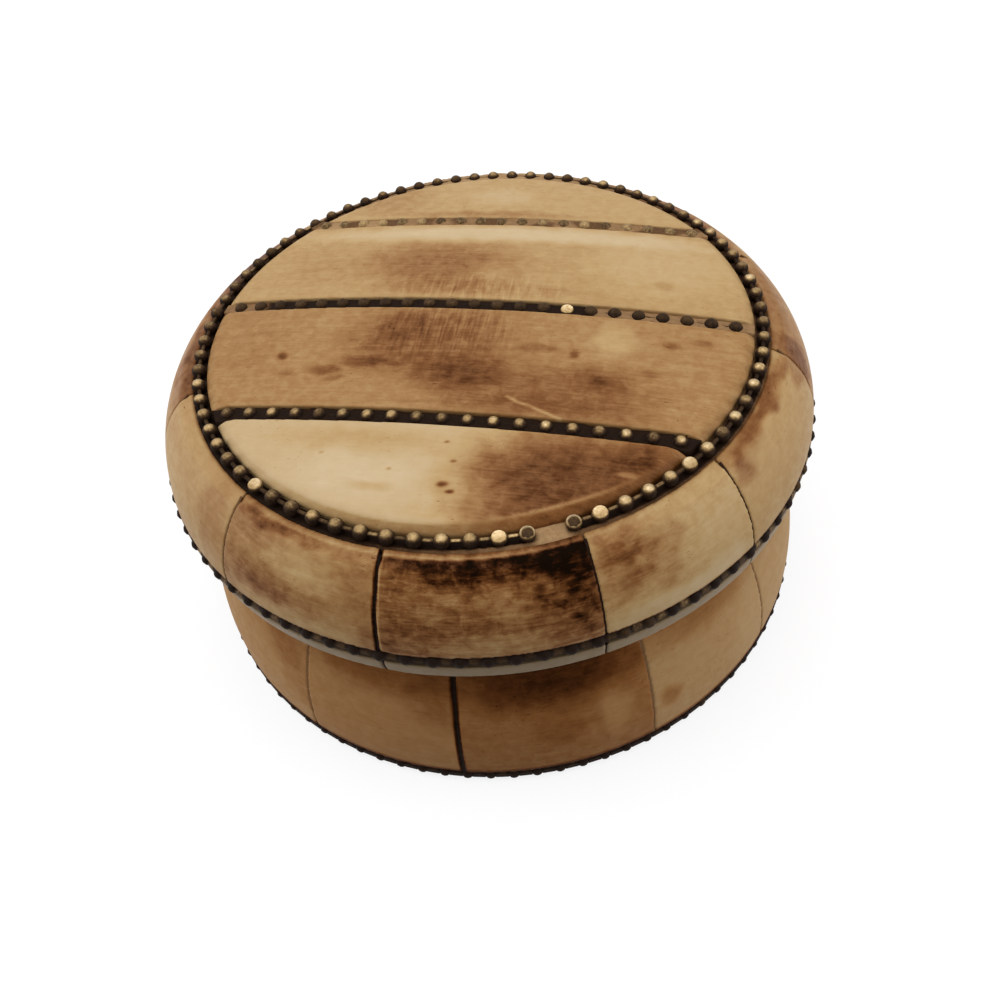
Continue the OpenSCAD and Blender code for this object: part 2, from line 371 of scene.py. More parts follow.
def carve(node, name, kind):
    piece = copyNode(node, name)
    voxelMm, passes = boneCut[kind]
    finishWith(piece, "REMESH", mode="VOXEL", voxel_size=voxelMm * mm)
    finishWith(piece, "SMOOTH", factor=boneBlank["rounding"], iterations=passes)
    points = pointsOf(piece.data)
    # hand filing leaves the face a little uneven, always inside the solid
    lift = noiseAt(points, boneBlank["unevenSpanMm"] * mm) - 1
    shift = normalsOf(piece.data) * lift[:, None] * boneBlank["unevenMm"] / 2 * mm
    movePoints(piece.data, points + shift)
    pickOnly(piece)
    bpy.ops.object.shade_smooth()
    return piece


def stainPiece(piece, along, across, look, figure, overlays=(), sawn=(), lip=0, shift=0):
    tone, spots = look
    points = pointsOf(piece.data)
    span = boneBlank["raggedSpanMm"] * mm
    drift = np.array([noise.noise_vector(Vector(p) / span)[:2] for p in points]) * boneBlank["raggedMm"]

    def ragged(spot):   # small spots keep their place and outline
        share = min(1, spot[2] / boneBlank["raggedFromMm"])
        return spread(along + drift[:, 0] * share, across + drift[:, 1] * share, spot)

    plain = np.zeros(len(points))
    depth = tone + sum((ragged(spot) * spot[4] for spot in spots), plain)
    for mask, overTone in overlays:   # worn edges and packed grooves cover the stain
        depth = depth + (overTone - depth) * mask
    setPointValues(piece.data, "stain", np.clip(depth, 0, 1))
    setPointValues(piece.data, "sawn", sum((ragged(spot) for spot in sawn), plain))
    setPointValues(piece.data, "lip", plain + lip)
    setPointValues(piece.data, "figure", plain + figure)
    grain = piece.data.uv_layers.new(name="grain")
    corners = np.zeros(len(piece.data.loops), np.int32)
    piece.data.loops.foreach_get("vertex_index", corners)
    grain.data.foreach_set("uv", (np.stack([along + shift, across], 1) * mm)[corners].ravel())


# Planks of the top. Their worn edge reaches the ring chain; at the front it is a brown bevel
# with a painted highlight along its ridge.

plankStains = {
    "plank_near": (0.21, [
        (-8, -27, 9, 4, -0.08), (15, -26, 13, 8, 0.5), (23.5, -21.5, 5, 3, 0.25),
        (20.3, -24.2, 1.2, 0.4, -0.2), (10, -31, 10, 2, 0.15), (-6, -28.5, 2.5, 0.8, 0.12),
        (-8, -22.5, 10, 1.8, 0.09), (1.2, -22.2, 0.35, 0.2, 0.3), (2.4, -24.6, 0.4, 0.25, 0.3),
        (1.9, -27.5, 0.6, 0.4, 0.35), (2.8, -28.4, 0.45, 0.3, 0.35), (-4.2, -26.1, 0.3, 0.2, 0.25),
        (-12, -24.4, 0.4, 0.2, 0.2)]),
    "plank_front": (0.43, [
        (-4, -7, 11, 7, 0.17), (-8, -5, 4, 4, 0.07), (0, -12.5, 6, 3, 0.15), (11, -13.5, 13, 4.5, 0.14),
        (10, -16.5, 16, 1.8, 0.08), (17, -11.8, 3.5, 3, 0.06), (16.4, -11.8, 1.3, 0.8, 0.13),
        (-11, -10.8, 4.5, 1, 0.18), (-15.5, -12.2, 2, 1, 0.16), (-21.5, -10, 0.8, 0.8, 0.22),
        (-14, -13.5, 1.5, 0.6, 0.12), (-20, -13, 1.5, 0.7, 0.1), (13, -8, 0.8, 0.8, 0.2),
        (24, -5, 1.2, 0.8, 0.15), (27, -4, 1.2, 0.8, 0.12), (9, -7.5, 3, 0.8, 0.1),
        (22, -10, 2, 0.8, 0.1), (17, -5, 3, 3.5, -0.12), (-27, -8, 6, 8, 0.03)]),
    "plank_back": (0.34, [
        (-6, 8, 11, 6, 0.19), (0.5, 6.5, 2.5, 2, -0.1), (0, 15.5, 30, 2.2, -0.2), (22, 10, 10, 7, -0.08),
        (0, 3, 14, 1.5, 0.07), (22, 6, 2, 1, 0.08), (-22, 8, 6, 5, 0.04)]),
    "plank_far": (0.31, [(-1, 26, 5, 3, -0.08), (-17, 25, 7, 5, 0.09), (-2, 20.8, 14, 1, 0.12)]),
}
plankFigure = 0.65
sawnPatches = {"plank_front": [(-3, -5, 9, 6)], "plank_back": [(-1, 3, 12, 3)]}
plankEdge = {"atMm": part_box("plank_front")[1].x / mm, "reachMm": 0.7, "fromMm": 1.5, "dropMm": 0.3}
plankBevel = {"widthMm": 0.75, "wideMm": 1.15, "wideAt": 293, "wideSpan": 16, "fade": (0.8, 1.05),
              "frontAt": 278, "frontSpan": 38, "strength": 0.9,
              "tone": 0.44, "deepTone": 0.6, "deepFrom": 274, "deepOver": 14,
              "ridgeMm": 0.2, "ridgeAt": 294, "ridgeSpan": 15, "ridgeTone": 0.4}
scratch = {"from": (6.5, -15.4), "to": (12.6, -17.9), "widthMm": 0.3, "coreMm": 0.09, "tone": 0.36,
           "patchMm": 1.3, "patchOver": (-0.5, 0.1)}


def reachOut(points):   # distance from the axis, as it is and with the planks' edge drawn out
    radius = np.hypot(points[:, 0], points[:, 1])
    near = smoothStep(plankEdge["atMm"] - plankEdge["fromMm"], plankEdge["atMm"], radius)
    return radius, radius + plankEdge["reachMm"] * near


def nearSegment(x, y, line):   # distance to a straight scratch
    (ax, ay), (bx, by) = line["from"], line["to"]
    t = ((x - ax) * (bx - ax) + (y - ay) * (by - ay)) / ((bx - ax) ** 2 + (by - ay) ** 2)
    t = np.clip(t, 0, 1)
    return np.hypot(x - ax - t * (bx - ax), y - ay - t * (by - ay))


def makePlank(node):
    piece = carve(node, node.replace("plank", "bonePlank"), "plank")
    points = pointsOf(piece.data) / mm
    radius, reached = reachOut(points)
    inward = plankEdge["atMm"] + plankEdge["reachMm"] - reached
    width = plankBevel["wideMm"] - plankBevel["widthMm"]
    width = plankBevel["widthMm"] + width * nearTurn(points, plankBevel["wideAt"], plankBevel["wideSpan"])
    atFront = nearTurn(points, plankBevel["frontAt"], plankBevel["frontSpan"])
    bevel = plankBevel["strength"] * (1 - smoothStep(*plankBevel["fade"], inward / width)) * atFront
    points[:, :2] *= (reached / radius)[:, None]
    points[:, 2] -= plankEdge["dropMm"] * np.clip(1 - inward / width, 0, 1) * atFront
    movePoints(piece.data, points * mm)
    x, y = points[:, 0], points[:, 1]
    deep = smoothStep(0, plankBevel["deepOver"], turnFrom(points, plankBevel["deepFrom"]))
    bevelTone = plankBevel["tone"] + (plankBevel["deepTone"] - plankBevel["tone"]) * deep
    # the pale ridge is a painted highlight
    ridgeHighlight = np.exp(-((inward - width) / plankBevel["ridgeMm"]) ** 2)
    ridgeHighlight = ridgeHighlight * nearTurn(points, plankBevel["ridgeAt"], plankBevel["ridgeSpan"])
    patchy = smoothStep(*scratch["patchOver"], noiseAt(points, scratch["patchMm"]))
    scratched = 1 - smoothStep(scratch["coreMm"], scratch["widthMm"], nearSegment(x, y, scratch))
    overlays = [(bevel, bevelTone), (ridgeHighlight, plankBevel["ridgeTone"]),
                (scratched * patchy, scratch["tone"])]
    stainPiece(piece, x, y, plankStains[node], plankFigure, overlays, sawnPatches.get(node, ()))
    settle(piece, bone["lid"], "lid", node)


for node in plankStains:
    makePlank(node)
print("planks stained")


# Sizes of the ball chain. The tiles also need the place of the closed chains in their grooves.

chainSize = {"beadMm": 1.75, "pitchMm": 2.8, "wireMm": 0.45, "flatMm": 0.72, "linkStart": 0.7,
             "rimPackingMm": 1.15, "footShadeFillMm": 1.4, "sides": 12, "rings": 8, "wireSides": 8,
             "sharpDegrees": 40}


def closedRing(node):   # place of a closed chain whose first bead lies towards x
    low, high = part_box(node)
    radius = high.x / mm - chainSize["beadMm"] / 2
    return {"radiusMm": radius, "heightMm": (low.z + high.z) / 2 / mm,
            "beads": round(math.tau * radius / chainSize["pitchMm"])}


rimRing = closedRing("rim_chain")
footRing = closedRing("foot_chain")


# Side tiles. Those in the photograph have their own stains; the rest get guessed ones.

# the wide pale bands low on tiles 1, 2 and 3 are painted light on their lower part, which faces down
lidStains = {
    1: (0.50, [(-4, 13.1, 7, 0.45, 0.19), (1.5, 12.3, 6, 0.8, -0.12), (0, 11, 6, 0.9, -0.14),
               (2, 10, 5, 1, -0.12), (-6, 10.5, 3, 1, -0.04), (-4, 8, 4.5, 1.8, 0.12),
               (6, 7.2, 3.5, 2.5, -0.06), (9, 6, 1.5, 2, 0.08), (0, 4.8, 11, 2, -0.15)]),
    2: (0.61, [(0, 13.1, 13, 1.6, 0.22), (0, 13.5, 13, 0.9, 0.11), (9.3, 12.5, 3.4, 2, 0.3),
               (10, 9.5, 2.5, 3.5, 0.17), (-6, 8.1, 5, 0.5, 0.05), (5.5, 10.6, 1.6, 0.7, 0.16),
               (7, 9.2, 1.6, 0.8, 0.16), (8.5, 7.6, 1.5, 0.8, 0.1), (-5, 11, 2.2, 0.8, -0.07),
               (-5.5, 9.5, 1.6, 0.7, -0.1), (1.5, 10, 3, 1.1, -0.12), (3, 8.8, 2, 1, -0.1),
               (0, 5.4, 9, 1.2, -0.17), (2, 6.6, 5, 0.8, -0.08), (0, 7.1, 8, 0.8, -0.05)]),
    3: (0.33, [(-5, 9.5, 5.5, 5, 0.13), (-7.2, 12, 3, 1.6, 0.17), (-6, 9.6, 3, 0.8, 0.12),
               (-3.6, 11.6, 3, 0.8, 0.1), (-5.5, 6.8, 4, 1.5, -0.1), (0.5, 11.5, 1.2, 1, 0.1),
               (6, 9, 5, 4, -0.06), (0, 5, 11, 2, -0.14)]),
    4: (0.34, [(0, 13.2, 11, 0.7, 0.28), (-9, 12, 2, 1.2, 0.2), (-7, 12.6, 4, 0.8, 0.08),
               (10, 11.5, 2.5, 2, 0.14)]),
    5: (0.44, [(-9, 11, 3, 3, 0.22), (0, 13, 11, 2, 0.08), (4, 8, 6, 3, -0.06)]),
    12: (0.36, [(8, 10, 3.5, 4, 0.1), (-4, 8, 6, 3, -0.04)]),
}
# the wide dark band across the top of each base tile is stain and painted shade under the lid's lip
baseStains = {
    1: (0.46, [(8, 13, 4, 5, 0.13), (0, 16, 12, 4, 0.18)]),
    2: (0.55, [(0, 15.5, 13, 5.5, 0.29), (0, 7, 4, 2.5, 0.08), (7, 8, 2.5, 5, -0.1)]),
    3: (0.38, [(-7.5, 6, 1.6, 2, 0.15), (8, 6, 5, 7, -0.04), (0, 15.5, 12, 3.5, 0.16)]),
    4: (0.36, [(-3, 16, 10, 4, 0.12)]),
    12: (0.42, [(7, 13, 4, 4, 0.1), (10, 9, 4, 5, 0.06), (0, 16, 12, 4, 0.1)]),
}
# width and height in mm of a tile that gets guessed stains; their places are shares of these
guessedSize = {"lid": (20, 13.6), "base": (21, 21)}
# a guessed tile is also darker along its top edge; on the base that is painted shade under the lid
guess = {"count": 6, "along": (-0.5, 0.5), "across": (0.25, 1), "lengthMm": (3, 9), "widthMm": (0.8, 3),
         "depth": (-0.1, 0.16), "tone": (0.36, 0.5), "edgeMm": 0.9, "edgeDepth": (0.05, 0.2)}
# how strongly each tile's grain shows
lidFigure = {1: 0.8, 2: 1.2, 3: 0.9}
plainLidFigure = 0.5
baseFigure = 0.3
# The tiles spread to close their joints to hairlines, and the lid's reach in to the ring chain. At the
# front their top edge is rubbed to a tan strip, with a painted highlight along the edge. Dark sides line the
# two open joints.
tileCount = 12
tileEdge = {"spreadMm": 0.17, "innerMm": 35.6, "reachMm": 0.75, "reachFromMm": 1.3,
            "reachUpMm": (35.8, 36.6), "topToMm": 35.5, "topFadeMm": (-0.15, 0.1), "topTone": 0.46,
            "topShare": 0.8, "frontAt": 272, "frontSpan": 34,
            "highlightMm": 0.17, "highlightTone": 0.27, "highlightShare": 0.75,
            "grimeAndShadeMm": (34.9, 35.2), "grimeAndShadeTone": 0.72, "grimeAndShadeShare": 0.5, "sparedAt": 95, "sparedSpan": 80,
            "sideTone": 0.36, "sideMm": (0.2, 0.5), "highlightedSide": "lid_tile_02",
            "darkTone": 0.97, "darkCore": 0.5, "grainShiftMm": 40,
            "darkSides": {"lid_tile_01": (1, 0.35), "lid_tile_02": (-1, 0.2),
                          "base_tile_01": (1, 0.5), "base_tile_02": (-1, 0.35)}}
rimGroove = {"radiusMm": 1.12, "tone": 0.93, "wallMm": (-0.12, 0.08), "darkFromMm": -0.45,
             "darkFadeMm": (-0.25, 0.25), "lipMm": (2.7, 3.0), "lipShare": 0.95,
             "edgeMm": 0.35, "edgeTone": 0.4, "edgeShare": 0.6}
footGrimeAndShade = {"upMm": (0.3, 1.0), "tone": 0.9, "share": 0.7}


def guessedStains(body):
    width, height = guessedSize[body]
    spots = [(draw.uniform(*guess["along"]) * width, draw.uniform(*guess["across"]) * height,
              draw.uniform(*guess["lengthMm"]), draw.uniform(*guess["widthMm"]),
              draw.uniform(*guess["depth"])) for _ in range(guess["count"])]
    tone = draw.uniform(*guess["tone"])
    return tone, spots + [(0, height, width, guess["edgeMm"], draw.uniform(*guess["edgeDepth"]))]


def lidWear(points, radius, across):   # overlays of a lid tile, and its pale lip under the rim chain
    atFront = nearTurn(points, tileEdge["frontAt"], tileEdge["frontSpan"])
    fromTop = radius - tileEdge["topToMm"]
    rubbed = 1 - smoothStep(*tileEdge["topFadeMm"], fromTop)
    # a painted highlight along the tile's top edge at the front
    line = np.exp(-(fromTop / tileEdge["highlightMm"]) ** 2)
    # grime with painted shade darkens the tile next to the ring's bed and beads, except at the front and
    # back
    spared = np.maximum(atFront, nearTurn(points, tileEdge["sparedAt"], tileEdge["sparedSpan"]))
    grimeAndShade = (1 - smoothStep(*tileEdge["grimeAndShadeMm"], radius)) * (1 - spared)
    fromAxis = np.hypot(radius - rimRing["radiusMm"], points[:, 2] - rimRing["heightMm"])
    fromGroove = fromAxis - rimGroove["radiusMm"]
    edge = 1 - smoothStep(0, rimGroove["edgeMm"], fromGroove)
    # the groove is black above, grime with painted shade where its wall faces down; its lower side is part
    # of the pale lip
    aboveLip = smoothStep(*rimGroove["darkFadeMm"],
                          points[:, 2] - rimRing["heightMm"] - rimGroove["darkFromMm"])
    wall = 1 - smoothStep(*rimGroove["wallMm"], fromGroove)
    lip = (1 - smoothStep(*rimGroove["lipMm"], across)) * (1 - aboveLip)
    return [(rubbed * tileEdge["topShare"] * atFront, tileEdge["topTone"]),
            (line * tileEdge["highlightShare"] * atFront, tileEdge["highlightTone"]),
            (grimeAndShade * tileEdge["grimeAndShadeShare"], tileEdge["grimeAndShadeTone"]),
            (edge * rimGroove["edgeShare"], rimGroove["edgeTone"]),
            (wall * aboveLip, rimGroove["tone"])], lip * rimGroove["lipShare"]


def makeTile(number, body, look, figure):
    node = f"{body}_tile_{number:02d}"
    piece = carve(node, f"bone{body.title()}Tile{number:02d}", body)
    points = pointsOf(piece.data) / mm
    radius = np.hypot(points[:, 0], points[:, 1])
    direction = math.degrees(math.atan2(points[:, 1].mean(), points[:, 0].mean()))
    turn = turnFrom(points, direction)
    direction += (turn.min() + turn.max()) / 2
    turn = turnFrom(points, direction)
    along = np.radians(turn) * radius.max()
    across = points[:, 2] - points[:, 2].min()
    angle = np.radians(direction + turn * (1 + tileEdge["spreadMm"] / along.max()))
    if body == "lid":
        near = 1 - smoothStep(tileEdge["innerMm"], tileEdge["innerMm"] + tileEdge["reachFromMm"], radius)
        radius = radius - tileEdge["reachMm"] * near * smoothStep(*tileEdge["reachUpMm"], points[:, 2])
    moved = np.stack([radius * np.cos(angle), radius * np.sin(angle), points[:, 2]], 1)
    movePoints(piece.data, moved * mm)
    overlays = []
    lip = 0
    # a painted highlight along one side of lid tile 2, where its chamfered edge catches the light
    if node == tileEdge["highlightedSide"]:
        fromSide = along - along.min()
        rubbed = smoothStep(0, tileEdge["sideMm"][0], fromSide)
        rubbed = rubbed * (1 - smoothStep(*tileEdge["sideMm"], fromSide))
        overlays.append((rubbed, tileEdge["sideTone"]))
    if body == "lid":
        worn, lip = lidWear(points, radius, across)
        overlays += worn
    else:
        # grime with painted shade along the tile's lower edge, above the foot chain
        grimeAndShade = 1 - smoothStep(*footGrimeAndShade["upMm"], across)
        overlays.append((grimeAndShade * footGrimeAndShade["share"], footGrimeAndShade["tone"]))
    if node in tileEdge["darkSides"]:
        side, width = tileEdge["darkSides"][node]
        dark = 1 - smoothStep(tileEdge["darkCore"] * width, width, along.max() - side * along)
        overlays.append((dark, tileEdge["darkTone"]))
    stainPiece(piece, along, across, look, figure, overlays, lip=lip,
               shift=tileEdge["grainShiftMm"] * number)
    settle(piece, bone[body], body, node)


for number in range(1, tileCount + 1):
    guessedLid = guessedStains("lid")
    guessedBase = guessedStains("base")
    makeTile(number, "lid", lidStains.get(number, guessedLid), lidFigure.get(number, plainLidFigure))
    makeTile(number, "base", baseStains.get(number, guessedBase), baseFigure)
print("tiles stained")


# Ball chain: each kind of bead and link is modelled once, then copied along a groove

wornBead = {"cut": 0.55, "tiltDegrees": 14, "rim": 0.2, "hollow": 0.3, "outerShare": 0.9, "floorShare": 0.55,
            "rubbed": (-0.2, 0.9), "wearAndHighlight": 0.82, "openShare": 1.3}
crownTop = 0.9   # share of a bead's or wire's radius from which its crown is fully rubbed and painted bright
linkMiddle = {"rings": (-0.2, 0.2), "wornTo": 0.6}   # keeps the wear and painted glint to the middle of the wire
chainVary = {"size": (0.95, 0.995), "beadWearAndHighlight": (0.75, 1.25), "linkTone": (0.7, 1.3)}


def modelBead(name, worn=False, opened=False):   # the chain runs along z, the crown is towards x
    bpy.ops.object.select_all(action="DESELECT")
    radius = chainSize["beadMm"] / 2 * mm
    bpy.ops.mesh.primitive_uv_sphere_add(segments=chainSize["sides"], ring_count=chainSize["rings"],
                                         radius=radius)
    bead = bpy.context.object
    bead.name = name
    flatAt = math.sqrt(chainSize["beadMm"] ** 2 - chainSize["flatMm"] ** 2) / 2 * mm
    cuts = [((0, 0, side * flatAt), (0, 0, side)) for side in (-1, 1)]   # a flat where each link enters
    tilt = math.radians(wornBead["tiltDegrees"])
    away = Vector((math.cos(tilt), math.sin(tilt), 0))
    if worn or opened:
        cuts.append(((wornBead["cut"] * radius, 0, 0), away))
    bpy.ops.object.mode_set(mode="EDIT")
    for place, facing in cuts:
        bpy.ops.mesh.select_all(action="SELECT")
        bpy.ops.mesh.bisect(plane_co=place, plane_no=facing, use_fill=True, clear_outer=True)
    if opened:   # the thin shell is rubbed through
        bpy.ops.mesh.inset(thickness=wornBead["rim"] * radius)
        bpy.ops.transform.translate(value=away * -wornBead["hollow"] * radius)
    bpy.ops.object.mode_set(mode="OBJECT")
    bpy.ops.object.shade_smooth_by_angle(angle=math.radians(chainSize["sharpDegrees"]))
    return bead


def modelLink(name, thickMm):   # 1 mm long, stretched where it is placed
    bpy.ops.object.select_all(action="DESELECT")
    bpy.ops.mesh.primitive_cylinder_add(vertices=chainSize["wireSides"], radius=thickMm / 2 * mm,
                                        depth=mm, end_fill_type="NGON")
    link = bpy.context.object
    link.name = name
    bpy.ops.object.mode_set(mode="EDIT")
    for place in linkMiddle["rings"]:
        bpy.ops.mesh.select_all(action="SELECT")
        bpy.ops.mesh.bisect(plane_co=(0, 0, place * mm), plane_no=(0, 0, 1))
    bpy.ops.object.mode_set(mode="OBJECT")
    bpy.ops.object.shade_smooth_by_angle(angle=math.radians(chainSize["sharpDegrees"]))
    return link


roundBead = modelBead("roundBead")
flatBead = modelBead("flatBead", worn=True)
openBead = modelBead("openBead", opened=True)
wireLink = modelLink("wireLink", chainSize["wireMm"])
rimPacking = modelLink("rimPacking", chainSize["rimPackingMm"])
footShadeFill = modelLink("footShadeFill", chainSize["footShadeFillMm"])


def turnedTo(axis, crown):   # z along the chain, x towards the crown that gets rubbed
    z = axis.normalized()
    y = z.cross(crown).normalized()
    return Matrix((y.cross(z), y, z)).transposed().to_4x4()


def makeChain(node, name, body, points, crowns, closed, look):
    chain = bpy.data.objects.new(name, bpy.data.meshes.new(name))
    bpy.context.scene.collection.objects.link(chain)
    chain.data.attributes.new("wearAndHighlight", "FLOAT", "POINT")
    copies = []
    link = look.get("link", wireLink)

    def place(model, matrix, wearAndHighlight):
        mesh = model.data.copy()
        local = pointsOf(mesh)
        # all but the floor of an opened bead
        outer = np.linalg.norm(local, axis=1) > wornBead["outerShare"] * chainSize["beadMm"] / 2 * mm
        local = local / np.abs(local).max(0)
        if model is link:
            crown = smoothStep(0, crownTop, local[:, 0]) * (np.abs(local[:, 2]) < linkMiddle["wornTo"])
        else:
            rubbed = (look.get("rubbedFrom", 0), crownTop) if model is roundBead else wornBead["rubbed"]
            crown = smoothStep(*rubbed, local[:, 0]) * np.where(outer, 1, wornBead["floorShare"])
        setPointValues(mesh, "wearAndHighlight", look["least"] + (wearAndHighlight - look["least"]) * crown)
        mesh.transform(matrix)
        piece = bpy.data.objects.new(model.name, mesh)
        bpy.context.scene.collection.objects.link(piece)
        copies.append(piece)

    count = len(points)
    for i, point in enumerate(points):
        after = points[(i + 1) % count] if closed or i + 1 < count else point
        before = points[i - 1] if closed or i else point
        bead = look.get("worn", {}).get(i, roundBead)
        size = Matrix.Scale(draw.uniform(*chainVary["size"]), 4)
        wearAndHighlight = wornBead["wearAndHighlight"]
        if bead is roundBead:
            wearAndHighlight = look["beadWearAndHighlight"][i] * draw.uniform(*chainVary["beadWearAndHighlight"])
        elif bead is openBead:
            wearAndHighlight *= wornBead["openShare"]
        place(bead, Matrix.Translation(point) @ turnedTo(after - before, crowns[i]) @ size, wearAndHighlight)
        if closed or i + 1 < count:
            step = after - point
            bare = (step.length - chainSize["beadMm"] * chainSize["linkStart"] * mm) / mm
            place(link, Matrix.Translation((point + after) / 2) @ turnedTo(step, crowns[i])
                  @ Matrix.Diagonal((1, 1, bare, 1)),
                  look["linkTone"][i] * draw.uniform(*chainVary["linkTone"]))
    pickOnly(chain)
    for piece in copies:
        piece.select_set(True)
    bpy.ops.object.join()
    settle(chain, brass, body, node)


def ringPoints(ring, angles):
    radius, height = ring["radiusMm"], ring["heightMm"]
    return [Vector((math.cos(t) * radius, math.sin(t) * radius, height)) * mm for t in np.radians(angles)]


# top ring: open at the front, with a painted glint on its front links, and some of its beads worn flat or
# open
topRing = {"radiusMm": 34.0, "heightMm": 37.6, "beads": 76, "gapAt": 293.1, "gapMm": 4.65,
           "flatAt": (284.5, 301.7, 320.8, 236.9), "openAt": (289.2, 297.1),
           "frontAt": 285, "frontSpan": 36, "backAt": 130, "backSpan": 75,
           "sunkAt": 95, "sunkSpan": 60, "sunkMm": 0.22,
           "beadWearAndHighlight": 0.58, "backFade": 0.18, "linkTone": 0.08, "frontLinkGlint": 0.6, "backLinks": 0.35,
           "least": 0.08, "rubbedFrom": 0.38}
gapTurn = math.degrees(topRing["gapMm"] / topRing["radiusMm"])
firstAt = topRing["gapAt"] + gapTurn / 2
turnStep = (360 - gapTurn) / (topRing["beads"] - 1)
points = ringPoints(topRing, [firstAt + turnStep * i for i in range(topRing["beads"])])
sunk = nearTurn(np.array(points), topRing["sunkAt"], topRing["sunkSpan"]) * topRing["sunkMm"] * mm
points = [point - up * depth for point, depth in zip(points, sunk)]
atFront = nearTurn(np.array(points), topRing["frontAt"], topRing["frontSpan"])
atBack = nearTurn(np.array(points), topRing["backAt"], topRing["backSpan"])
worn = {}
for bead, angles in ((flatBead, topRing["flatAt"]), (openBead, topRing["openAt"])):
    worn.update({round(((angle - firstAt) % 360) / turnStep): bead for angle in angles})
beadWearAndHighlight = topRing["beadWearAndHighlight"] - topRing["backFade"] * atBack
# the front links get a painted glint
linkTone = topRing["linkTone"] + topRing["frontLinkGlint"] * atFront + topRing["backLinks"] * atBack
makeChain("top_ring_chain", "brassTopRing", "lid", points, [up] * len(points), False,
          {"beadWearAndHighlight": beadWearAndHighlight, "linkTone": linkTone, "worn": worn, "least": topRing["least"],
           "rubbedFrom": topRing["rubbedFrom"]})

# rim and foot: black beads, a few with a painted glint; the rim's packing is grime, paler at its sides, and
# the foot's is a dark fill standing in for the shade between its beads
closedRings = [
    {"node": "rim_chain", "name": "brassRimRing", "body": "lid", "ring": rimRing, "link": rimPacking,
     "packing": 0.4, "frontPacking": 0.2},
    # the foot's packing is a dark fill standing in for the shade seen between its beads
    {"node": "foot_chain", "name": "brassFootRing", "body": "base", "ring": footRing, "link": footShadeFill,
     "packing": 0.1, "frontPacking": 0.1}]
closedWear = {"bead": 0.04, "glint": 0.24, "glintShare": 0.04, "least": 0.02, "crownUp": 0.6,
              "frontAt": 275, "frontSpan": 35}
for look in closedRings:
    ring = look["ring"]
    points = ringPoints(ring, [360 / ring["beads"] * i for i in range(ring["beads"])])
    crowns = [Vector((p.x, p.y, 0)).normalized() + up * closedWear["crownUp"] for p in points]
    glints = [draw.random() < closedWear["glintShare"] for _ in points]
    atFront = nearTurn(np.array(points), closedWear["frontAt"], closedWear["frontSpan"])
    makeChain(look["node"], look["name"], look["body"], points, crowns, True,
              {"beadWearAndHighlight": [closedWear["glint"] if glint else closedWear["bead"] for glint in glints],
               "linkTone": look["packing"] + (look["frontPacking"] - look["packing"]) * atFront,
               "least": closedWear["least"], "link": look["link"]})

# straight chains between the planks; the middle one is dark at its right end
straight = {"dropMm": 0.5, "edgeMm": 38.2, "domeMm": 2.1, "reachMm": 32.4, "darkFromMm": 14,
            "near": {"rubbed": 0.54, "least": 0.08, "rubbedFrom": 0.6},
            "middle": {"rubbed": 0.26, "least": 0.06, "rubbedFrom": 0, "darkWear": 0.24, "flatBead": 15},
            "far": {"rubbed": 0.46, "least": 0.42, "rubbedFrom": 0}}
domeRadius = (straight["reachMm"] ** 2 + straight["domeMm"] ** 2) / (2 * straight["domeMm"])
domeMiddle = straight["edgeMm"] + straight["domeMm"] - domeRadius
for place in ("near", "middle", "far"):
    look = straight[place]
    low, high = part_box(f"plank_chain_{place}")
    y = (low.y + high.y) / 2 / mm
    links = round((high.x - low.x - chainSize["beadMm"] * mm) / mm / chainSize["pitchMm"])
    xs = [(i - links / 2) * chainSize["pitchMm"] for i in range(links + 1)]
    heights = [domeMiddle - straight["dropMm"] + math.sqrt(domeRadius ** 2 - x * x - y * y) for x in xs]
    points = [Vector((x, y, z)) * mm for x, z in zip(xs, heights)]
    rightWear = look.get("darkWear", look["rubbed"])
    beadWearAndHighlight = [rightWear if x > straight["darkFromMm"] else look["rubbed"] for x in xs]
    worn = {look["flatBead"]: flatBead} if "flatBead" in look else {}
    makeChain(f"plank_chain_{place}", f"brass{place.title()}Chain", "lid", points, [up] * len(points),
              False, {"beadWearAndHighlight": beadWearAndHighlight, "linkTone": [look["least"]] * len(points), "worn": worn,
                      "least": look["least"], "rubbedFrom": look["rubbedFrom"]})
for model in (roundBead, flatBead, openBead, wireLink, rimPacking, footShadeFill):
    bpy.data.objects.remove(model)
print("chains laid")


# Setting compound. The ring's bed is near-black between the beads, dark compound with painted shade, and
# paler at the back, at the right and along the front, and tan in the gap, where no bead shades it. The
# straight beds are packed up to the chains. Most joints are brown hairlines; one on the lid and one on the
# base have lost their surface and are near-black.

bedLook = {"voxelMm": 0.25, "unevenMm": 0.1, "unevenSpanMm": 1.1, "topNormal": 0.4, "endFadeMm": (-1, 1)}
ringBed = {"heightMm": 36.75, "tone": 0.08, "outerMm": (0.75, 1.35), "dropMm": 0.45,
           "backAt": 95, "backSpan": 60, "backTone": 0.95, "backLiftMm": 0.85,
           "sideAt": 350, "sideSpan": 45, "sideFromMm": (0.5, 0.75), "sideTone": 0.58,
           "stripAt": 287, "stripSpan": 24, "stripFromMm": (0.3, 0.55), "stripTone": 0.68,
           "gapShare": (0.28, 0.55), "gapTone": 0.9, "liftMm": 0.25}
# an end is (from mm, tone) by its side
straightBeds = {"near": {"liftMm": 1.15, "tone": 0.11, "ends": {}},
                "middle": {"liftMm": 1.15, "tone": 0.1, "ends": {1: (14, 0.8), -1: (27, 0.75)}},
                "far": {"liftMm": 1.3, "tone": 0.8, "ends": {-1: (14, 0.9)},
                        "patches": {"spanMm": 3.5, "over": (-0.1, 0.2), "tone": 0.55}}}
